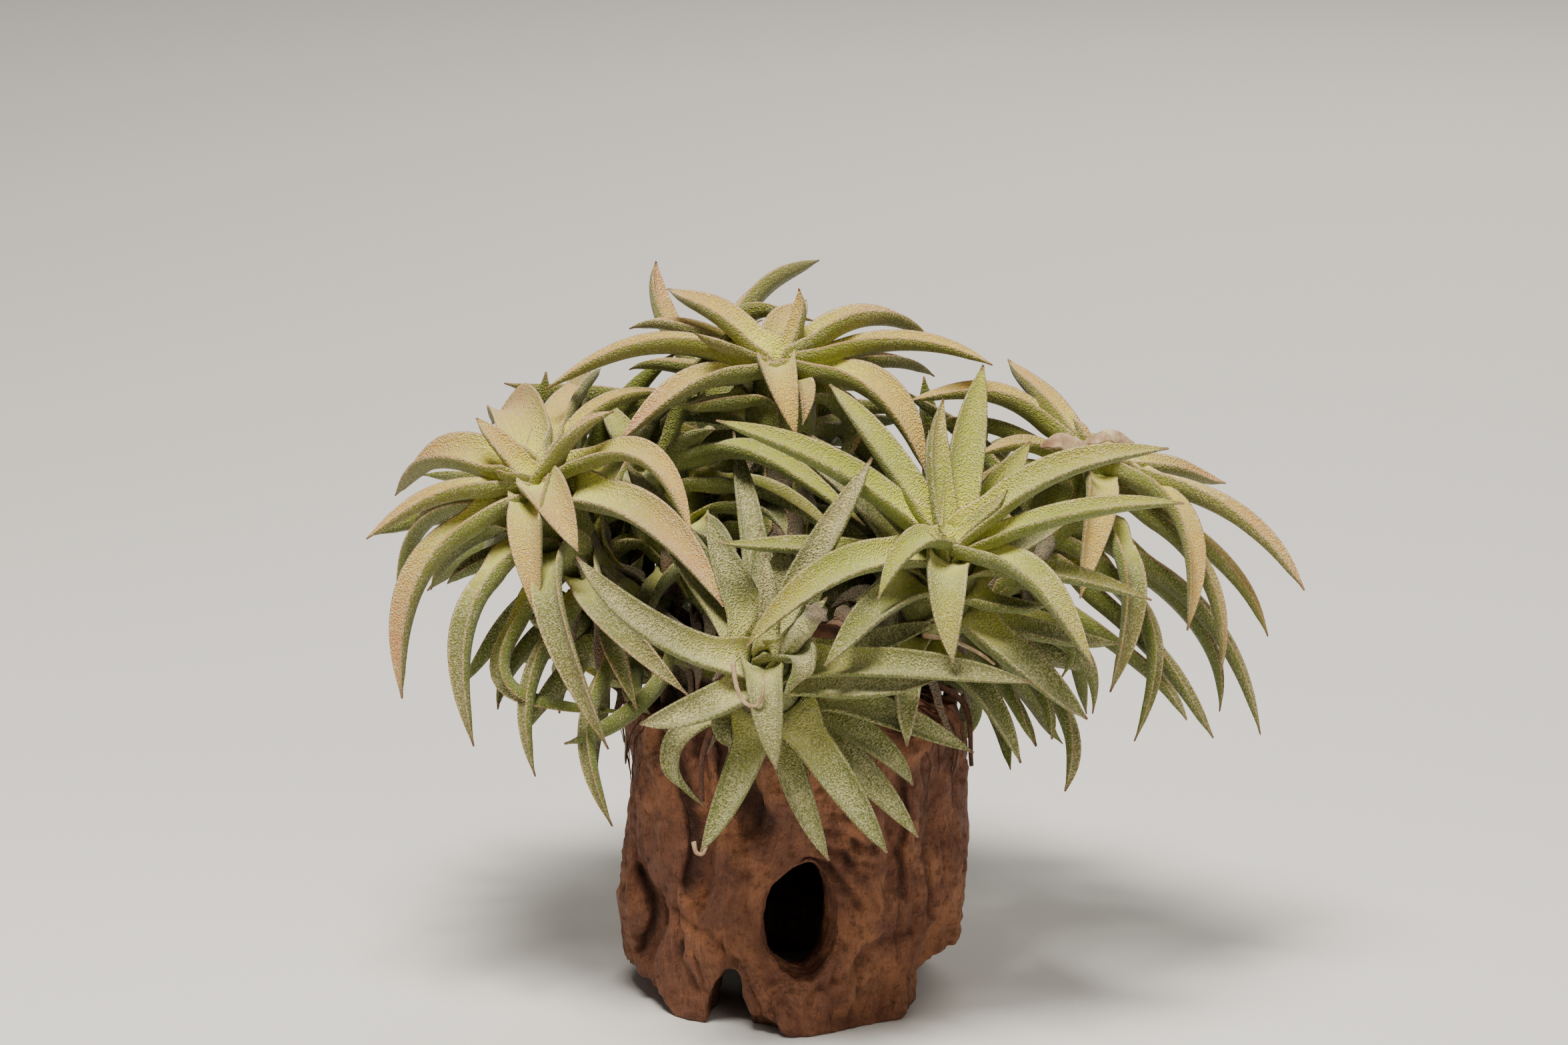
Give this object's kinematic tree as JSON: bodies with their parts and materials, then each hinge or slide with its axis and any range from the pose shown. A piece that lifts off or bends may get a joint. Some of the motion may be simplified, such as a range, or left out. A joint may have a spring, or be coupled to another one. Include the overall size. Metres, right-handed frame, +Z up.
{
  "type": "air plant clump on driftwood",
  "caption": "Clump of small silvery air plant rosettes with thick recurved leaves, growing on a short hollow piece of gnarled driftwood with an oval window.",
  "frame": {"origin": "on the surface that the wood stands on, at the middle of the clump's outline seen from above", "axes": "+Z up, -Y is the front with the oval window, +X along the clump's widest side, to the right seen from the front"},
  "size_m": [0.1493, 0.1162, 0.1131],
  "materials": {
    "driftwood": "dry weathered wood with open grain and worn edges",
    "root_bark": "rough dry bark and wiry roots",
    "leaf_peach": "fleshy leaf with a frosted coat, cream to peach at the tips",
    "leaf_lime": "fleshy leaf with a frosted coat, lime green",
    "leaf_silver": "fleshy leaf with a dense silvery grey-green coat"
  },
  "bodies": {
    "root": {"driftwood": "driftwood", "root_crown": "root_bark", "head_left": "leaf_peach", "head_top": "leaf_peach", "head_right": "leaf_peach", "head_back_top": "leaf_peach", "head_front_right": "leaf_lime", "head_middle": "leaf_lime", "head_back_right": "leaf_lime", "head_back_left": "leaf_lime", "head_front_low": "leaf_silver", "head_back_low": "leaf_silver", "head_right_low": "leaf_silver", "head_left_low": "leaf_silver"}
  },
  "joints": []
}
